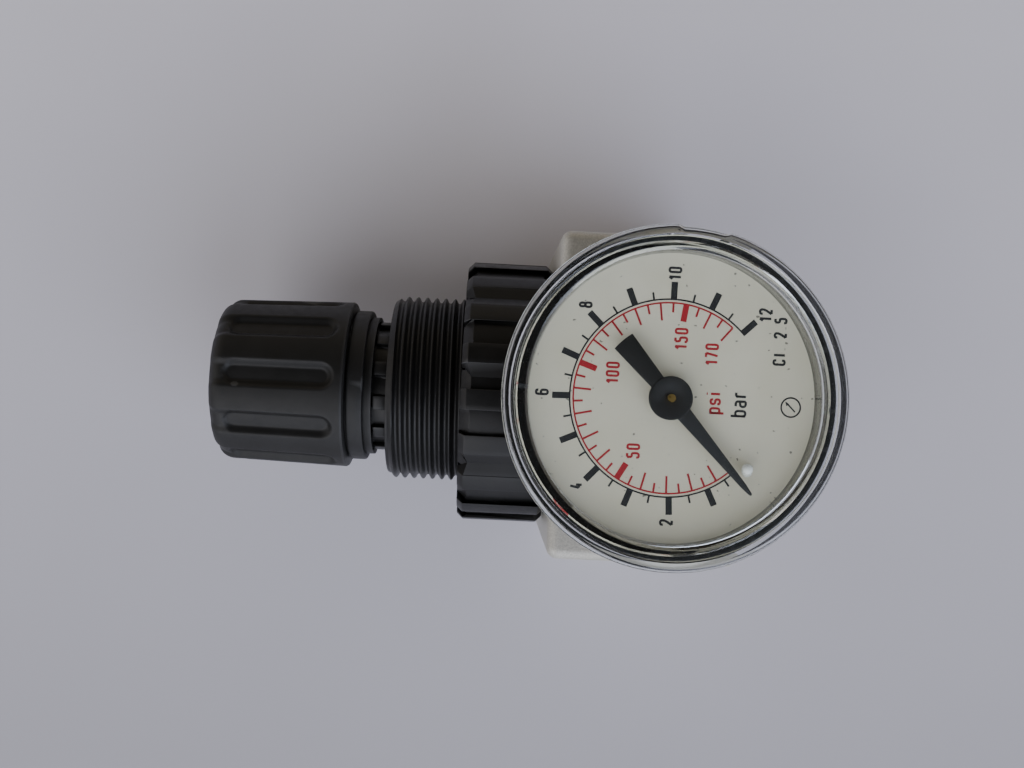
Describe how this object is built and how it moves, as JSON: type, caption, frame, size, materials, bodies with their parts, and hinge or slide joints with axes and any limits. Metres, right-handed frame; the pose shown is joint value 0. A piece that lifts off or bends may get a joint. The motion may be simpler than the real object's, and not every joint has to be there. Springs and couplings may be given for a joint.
{
  "type": "air pressure regulator",
  "caption": "Compact air pressure regulator with a locking fluted knob, a panel thread, a ribbed union ring, side ports and a front-mounted round pressure gauge.",
  "frame": {"origin": "where the axis of the knob meets the panel seat, the flat top face of the union ring", "axes": "-X along the knob's axis out of the knob, +Z out of the gauge's face, air in at -Y and out at +Y; the part lies on its flat back"},
  "size_m": [0.0847, 0.0486, 0.0757],
  "materials": {
    "body_casting": "silver-grey paint on die-cast zinc",
    "black_plastic": "satin moulded plastic",
    "brass": "machined",
    "steel": "bright machined",
    "aluminium": "machined",
    "rubber": "moulded",
    "clear_plastic": "clear moulded window",
    "dial_white": "matt off-white with printed scales",
    "white_plastic": "moulded"
  },
  "bodies": {
    "housing": {"body_casting": "body_casting", "union_ring": "black_plastic", "bonnet": "black_plastic", "diaphragm": "rubber", "main_spring": "steel", "valve_seat": "brass", "valve_seat_o_ring": "rubber", "poppet_spring": "steel", "bottom_plug": "black_plastic", "bottom_plug_o_ring": "rubber", "rear_port_plug": "brass", "gauge_socket": "brass", "gauge_washer": "aluminium", "gauge_case": "black_plastic", "case_screws": "steel", "gauge_window": "clear_plastic", "gauge_dial": "dial_white", "stop_pin": "white_plastic", "bourdon_tube": "brass", "movement_back_plate": "brass", "movement_front_plate": "brass", "movement_pillars": "brass", "movement_screws": "steel", "hairspring": "brass"},
    "adjuster": {"adjusting_screw": "steel", "thrust_washer": "steel"},
    "knob": {"knob": "black_plastic", "knob_lock_ring": "black_plastic"},
    "spring_nut": {"spring_nut": "brass"},
    "diaphragm_centre": {"diaphragm_plate": "aluminium", "relief_insert": "brass"},
    "valve": {"poppet": "brass", "poppet_seal": "rubber"},
    "sector": {"sector_gear": "brass", "link_pin": "steel"},
    "pinion": {"pinion_arbor": "brass", "pointer": "black_plastic"},
    "link": {"link": "brass"},
    "tube_tip": {"tube_tip": "brass"}
  },
  "joints": [
    {"name": "knob_turn", "type": "hinge", "parent": "housing", "child": "adjuster", "pos_m": [-0.026, 0, 0], "axis": [-1, 0, 0], "range_deg": [-1800, 0]},
    {"name": "knob_lock", "type": "slide", "parent": "adjuster", "child": "knob", "axis": [-1, 0, 0], "range_m": [-0.0022, 0]},
    {"name": "spring_nut_slide", "type": "slide", "parent": "housing", "child": "spring_nut", "axis": [-1, 0, 0], "range_m": [-0.005, 0], "deforming": ["main_spring"]},
    {"name": "diaphragm_lift", "type": "slide", "parent": "housing", "child": "diaphragm_centre", "axis": [-1, 0, 0], "range_m": [-0.0012, 0], "deforming": ["diaphragm"]},
    {"name": "valve_lift", "type": "slide", "parent": "housing", "child": "valve", "axis": [-1, 0, 0], "range_m": [-0.0012, 0], "deforming": ["poppet_spring"]},
    {"name": "sector_swing", "type": "hinge", "parent": "housing", "child": "sector", "pos_m": [0.0357, 0, 0.0407], "axis": [0, 0, 1], "range_deg": [0, 29.67], "deforming": ["hairspring"]},
    {"name": "pointer_turn", "type": "hinge", "parent": "housing", "child": "pinion", "pos_m": [0.0257, 0, 0.0407], "axis": [0, 0, 1], "range_deg": [-267.01, 0]},
    {"name": "link_swing", "type": "hinge", "parent": "sector", "child": "link", "pos_m": [0.04005, -0.00116, 0.0415], "axis": [0, 0, 1], "range_deg": [-26, 0]},
    {"name": "tube_tip_travel", "type": "slide", "parent": "housing", "child": "tube_tip", "axis": [-0.4815, 0.8765, 0], "range_m": [0, 0.002], "deforming": ["bourdon_tube"]}
  ],
  "couplings": [
    {"joint": "spring_nut_slide", "follows": "knob_turn", "m_per_rad": 0.00015915},
    {"joint": "valve_lift", "follows": "diaphragm_lift", "ratio": 1},
    {"joint": "pointer_turn", "follows": "sector_swing", "ratio": -9},
    {"joint": "link_swing", "follows": "sector_swing", "ratio": -0.8609},
    {"joint": "tube_tip_travel", "follows": "sector_swing", "m_per_rad": 0.003816}
  ]
}
